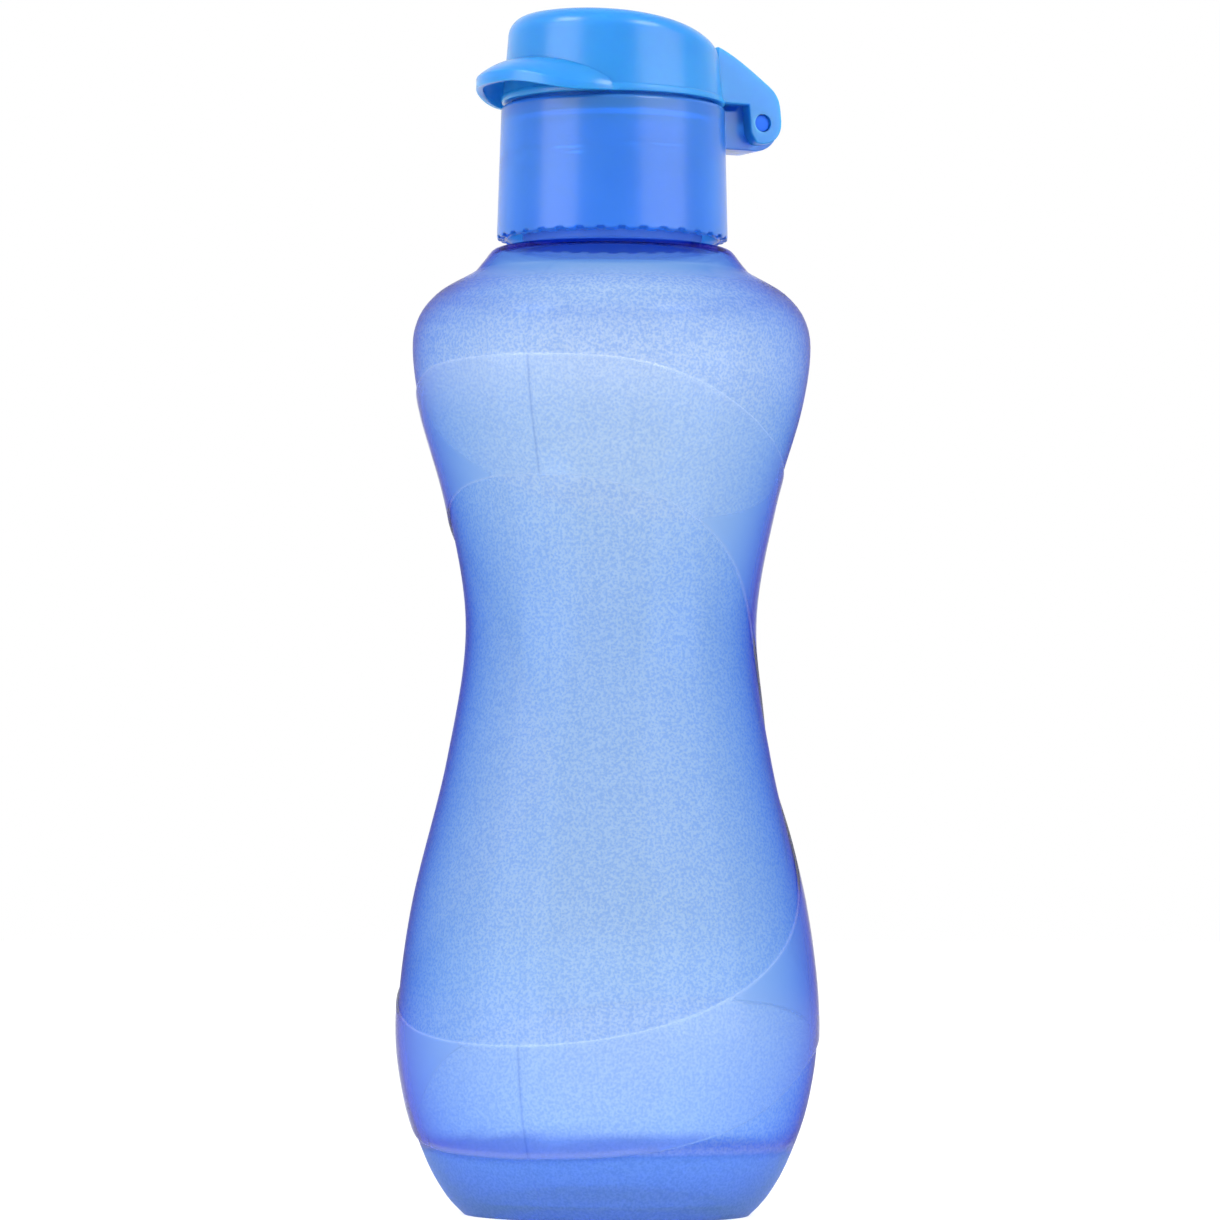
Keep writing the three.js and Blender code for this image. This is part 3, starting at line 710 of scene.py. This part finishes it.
def thumb_tab():
    """The tab: at each angle round the lid a curved leaf, from the lid's wall out to its outline."""
    root = LID_WALL_TOP_RADIUS - 0.2
    rings = []
    for share in np.linspace(-0.995, 0.995, TAB_SECTIONS):
        angle = share * TAB_HALF_SPAN
        swell = math.sqrt(1 - share**2)
        across = TAB_OFFSET * math.sin(angle)
        reach = TAB_OFFSET * math.cos(angle) + math.sqrt(TAB_OUTLINE_RADIUS**2 - across**2)
        edge = max(reach, LID_RADIUS + 0.05)
        root_top = LID_RIM_Z + TAB_END_HEIGHT + (TAB_ROOT_HEIGHT - TAB_END_HEIGHT) * swell
        dropped = smooth_step((abs(angle) - TAB_LIFT_FULL) / (TAB_LIFT_END - TAB_LIFT_FULL))
        low = LID_RIM_Z + TAB_EDGE_LIFT * (1 - dropped)
        top = low + TAB_END_EDGE + (TAB_EDGE_HEIGHT - TAB_END_EDGE) * swell
        leaf = TAB_END_THICKNESS + (TAB_THICKNESS - TAB_END_THICKNESS) * swell
        t = np.linspace(0, 1, 9)
        bulge = TAB_BULGE * swell * t * (1 - t)
        over = np.stack([root + (edge - root) * t, root_top + (top - root_top) * t + bulge], 1)
        under = over - [0, leaf]
        under[:, 0] -= leaf * t
        section = [*over[:-1], (edge - 0.12, top + 0.02), (edge, top - 0.2), (edge, low + 0.15),
                   (edge - 0.15, low), (edge - leaf * 0.75, low), (edge - leaf * 0.9, low + 0.15),
                   *under[::-1]]
        rings.append([(-r * math.cos(angle), -r * math.sin(angle), z) for r, z in section[::-1]])
    columns = len(rings[0])
    faces = ring_faces(len(rings), columns, closed=False)
    faces.append(tuple(range(columns - 1, -1, -1)))
    last = (len(rings) - 1) * columns
    faces.append(tuple(range(last, last + columns)))
    mesh = plain_mesh([v for ring in rings for v in ring], faces)
    shape = bmesh.new()
    shape.from_mesh(mesh)
    bmesh.ops.recalc_face_normals(shape, faces=shape.faces)
    shape.to_mesh(mesh)
    shape.free()
    return mesh


def lid_shell():
    """Hollow lid, thumb tab, hinge arm with two ears, and the boss that holds the seal."""
    rim_in = LID_RADIUS - LID_WALL - 0.1
    band_top = LID_RIM_Z + LID_BAND_HEIGHT
    wall = [(LID_WALL_TOP_RADIUS + (LID_RADIUS - LID_BAND_STEP - LID_WALL_TOP_RADIUS) * (1 - t),
             band_top + 0.12 + (LID_WALL_TOP_Z - band_top - 0.4) * t) for t in (0, 0.03, 0.5, 0.97)]
    outer = [(0.4, LID_RIM_Z), (LID_RADIUS - 0.4, LID_RIM_Z), (LID_RADIUS - 0.1, LID_RIM_Z + 0.1),
             (LID_RADIUS, LID_RIM_Z + 0.35), (LID_RADIUS, band_top - 0.3),
             (LID_RADIUS - 0.1, band_top - 0.08), (LID_RADIUS - 0.2, band_top), *wall,
             *dome_profile(0)]
    inner = [(0.4, LID_RIM_Z - 1), (rim_in, LID_RIM_Z - 1), (rim_in, band_top),
             *dome_profile(LID_WALL)]
    boss_low, boss_top = SPOUT_TOP_Z + 3.2, LID_TOP_Z - LID_WALL / 2
    socket = SEAL_STEM_RADIUS + GAP
    boss = lathed(rounded([(socket, boss_low, 0.2), (BOSS_RADIUS, boss_low, 0.3),
                           (BOSS_RADIUS, boss_top, 0), (socket, boss_top, 0)]), 96)

    line = spline(LID_TOP_LINE, 16)
    over_arm = [tuple(p) for p in line[::-1] if p[0] > LID_WALL_TOP_RADIUS - 2]
    arm = slab([(LID_WALL_TOP_RADIUS - 2, ARM_UNDERSIDE_Z),
                (PIN_X - EAR_INNER_TOP, ARM_UNDERSIDE_Z),
                (PIN_X - EAR_INNER_LOW, PIN_Z - EAR_RADIUS / 2),
                *arc(PIN_X, PIN_Z, EAR_RADIUS, 250, 359, 22), *over_arm],
               -HINGE_HALF_WIDTH, HINGE_HALF_WIDTH, 0.35)
    room = KNUCKLE_RADIUS + GAP
    slot_half = KNUCKLE_HALF_WIDTH + GAP
    web_angle = math.degrees(math.asin(WEB_END / room))
    slot = slab([(SLOT_START_X, PIN_Z - 10), (PIN_X + 10, PIN_Z - 10),
                 (PIN_X + 10, PIN_Z + WEB_END), *arc(PIN_X, PIN_Z, room, web_angle, 90, 8),
                 (SLOT_START_X, PIN_Z + room)],
                -slot_half, slot_half)
    hole = across_hinge(PIN_HOLE_RADIUS, HINGE_HALF_WIDTH + 1)
    solid_lid, room_inside = (sloped(lathed(profile, LID_COLUMNS, closed=False))
                              for profile in (outer, inner))
    boss = combined(boss, ("INTERSECT", solid_lid))
    shell = combined(solid_lid, ("UNION", arm), ("UNION", thumb_tab()),
                     ("DIFFERENCE", room_inside), ("UNION", boss), ("DIFFERENCE", slot),
                     ("DIFFERENCE", hole))
    piece_of(shell, "lid_shell", "lid", "flip_lid", lid_plastic())


# ---- Pin, spout and seals ----
SPOUT_MOUTH_RADIUS, SPOUT_BEAD_HEIGHT = 8.3, 1.5
SEAL_GAP, SEAL_THICKNESS = 0.4, 2.4
GASKET_OVERHANG = 1.2
SOFT_COLUMNS = 120


def hinge_pin():
    pin = across_hinge(PIN_RADIUS, HINGE_HALF_WIDTH - PIN_RECESS, 0.25)
    piece_of(pin, "pin", "cap", "hinge_pin", pin_plastic(), sharp_angle=50)


def spout():
    flange, bead_top = DECK_TOP_Z + GAP, DECK_TOP_Z - DECK_THICKNESS - GAP
    shank = DECK_HOLE - GAP
    profile = rounded([
        (SPOUT_MOUTH_RADIUS, bead_top - SPOUT_BEAD_HEIGHT, 0.2),
        (SPOUT_BEAD_RADIUS - 0.6, bead_top - SPOUT_BEAD_HEIGHT, 0.2),
        (SPOUT_BEAD_RADIUS, bead_top, 0.2), (shank, bead_top, 0.1), (shank, flange, 0.1),
        (SPOUT_FLANGE_RADIUS, flange, 0.2), (SPOUT_FLANGE_RADIUS - 0.4, flange + 1.2, 0.3),
        (9.6, flange + 1.6, 1.2), (6.4, SPOUT_TOP_Z - 3, 1.2),
        (SPOUT_LIP_RADIUS, SPOUT_TOP_Z - 1.6, 0.6), (SPOUT_LIP_RADIUS - 0.4, SPOUT_TOP_Z - 0.3, 0.5),
        (SPOUT_LIP_RADIUS - 1.4, SPOUT_TOP_Z, 0.5), (SPOUT_BORE, SPOUT_TOP_Z, 0.4),
        (SPOUT_BORE, SPOUT_TOP_Z - 4, 0.5), (SPOUT_MOUTH_RADIUS, flange, 0.5)])
    piece_of(lathed(profile, SOFT_COLUMNS), "spout", "cap", "drinking_spout",
             silicone("spout_silicone", (150, 170, 200)))


def seal(material):
    low = SPOUT_TOP_Z + SEAL_GAP
    top = low + SEAL_THICKNESS
    nose = low - SEAL_NOSE_DEPTH
    profile = [(0.3, nose), (1.6, nose), (1.85, nose + 0.05), (2.05, nose + 0.25),
               (SPOUT_BORE - 0.55, low - 0.1), (SPOUT_BORE - 0.35, low), (SEAL_RADIUS - 0.3, low),
               (SEAL_RADIUS - 0.08, low + 0.08), (SEAL_RADIUS, low + 0.3), (SEAL_RADIUS, top - 0.5),
               (SEAL_RADIUS - 0.15, top - 0.15), (SEAL_RADIUS - 0.5, top),
               (SEAL_STEM_RADIUS + 0.1, top), (SEAL_STEM_RADIUS, top + 0.1),
               (SEAL_STEM_RADIUS - 0.3, top + 0.9), (SEAL_STEM_RADIUS - 0.5, top + 1),
               (0.3, top + 1)]
    piece_of(lathed(profile, 96, closed=False), "seal", "lid", "lid_seal",
             material)


def gasket(material):
    low, top = NECK_TOP_Z + GAP, DECK_TOP_Z - DECK_THICKNESS - GAP
    outside = NECK_RADIUS + GASKET_OVERHANG
    profile = rounded([(NECK_BORE, low, 0.2), (outside, low, 0.2), (outside, top, 0.2),
                       (NECK_BORE, top, 0.2)])
    piece_of(lathed(profile, SOFT_COLUMNS), "gasket_ring", "gasket", "neck_gasket",
             material)


# ---- Camera, lights and floor ----
CAMERA_AZIMUTH = -26
CAMERA_DISTANCE = 1.123
CAMERA_HEIGHT = 0.065
CAMERA_AIM_HEIGHT = 0.1155
CAMERA_LENS = 172.9
CAMERA_ROLL = 0.35
BODY_AIM, LID_AIM = 0.12, 0.22
FLOOR_HALF = 4.0
# Azimuth from the camera's, height, distance, size, power and the height aimed at.
SOFTBOXES = {
    "softbox_left": (-56, 0.25, 0.9, (0.65, 0.9), 8.5, BODY_AIM),
    "softbox_right": (53, 0.25, 0.9, (0.85, 0.9), 9.5, BODY_AIM),
    "overhead_left": (-58, 0.85, 0.7, (0.38, 0.25), 5, LID_AIM),
    "overhead_right": (46, 0.85, 0.7, (0.42, 0.25), 5.5, LID_AIM),
}


def add_camera():
    azimuth = math.radians(CAMERA_AZIMUTH)
    place = Vector((math.sin(azimuth), -math.cos(azimuth), 0)) * CAMERA_DISTANCE
    place.z = CAMERA_HEIGHT
    data = bpy.data.cameras.new("camera")
    data.lens = CAMERA_LENS
    data.sensor_width = 36
    camera = linked("camera", data)
    aim = Vector((0, 0, CAMERA_AIM_HEIGHT)) - place
    turn = aim.to_track_quat("-Z", "Y").to_matrix().to_4x4()
    roll = Matrix.Rotation(math.radians(CAMERA_ROLL), 4, "Z")
    camera.matrix_world = Matrix.Translation(place) @ turn @ roll
    bpy.context.scene.camera = camera


def add_softbox(name, azimuth, height, distance, size, power, aim_height):
    """A rectangular light at an azimuth from the camera's, aimed at a point on the axis."""
    a = math.radians(CAMERA_AZIMUTH + azimuth)
    place = Vector((math.sin(a) * distance, -math.cos(a) * distance, height))
    data = bpy.data.lights.new(name, "AREA")
    data.shape = "RECTANGLE"
    data.size, data.size_y = size
    data.energy = power
    lamp = linked(name, data)
    aim = Vector((0, 0, aim_height)) - place
    lamp.matrix_world = Matrix.Translation(place) @ aim.to_track_quat("-Z", "Y").to_matrix().to_4x4()


def add_world():
    world = bpy.data.worlds.new("studio")
    bpy.context.scene.world = world
    world.use_nodes = True
    background = world.node_tree.nodes["Background"]
    background.inputs["Color"].default_value = (1, 1, 1, 1)
    background.inputs["Strength"].default_value = 1.0


def add_floor():
    """Pale paper that gives off light, so that the lower part isn't shaded."""
    mesh = bpy.data.meshes.new("floor")
    mesh.from_pydata([(x * FLOOR_HALF, y * FLOOR_HALF, 0)
                      for x, y in ((-1, -1), (1, -1), (1, 1), (-1, 1))], [], [(0, 1, 2, 3)])
    floor = linked("floor", mesh)
    n = Nodes("floor_paper")
    n.principled(Base_Color=n.blend(n.noise(3.0), linear(148, 148, 148), linear(152, 152, 152)),
                 Roughness=0.9, Emission_Color=(1, 1, 1, 1), Emission_Strength=0.72)
    mesh.materials.append(n.material)


bpy.context.scene.view_settings.view_transform = "Standard"
add_camera()
add_world()
for name, placing in SOFTBOXES.items():
    add_softbox(name, *placing)
add_floor()

bottle_shell()
cap_shell()
lid_shell()
hinge_pin()
spout()
seal(silicone("seal_silicone", (70, 118, 214)))
# This name is the frame's own plain material, not the seal's.
gasket(bpy.data.materials["seal_silicone"])
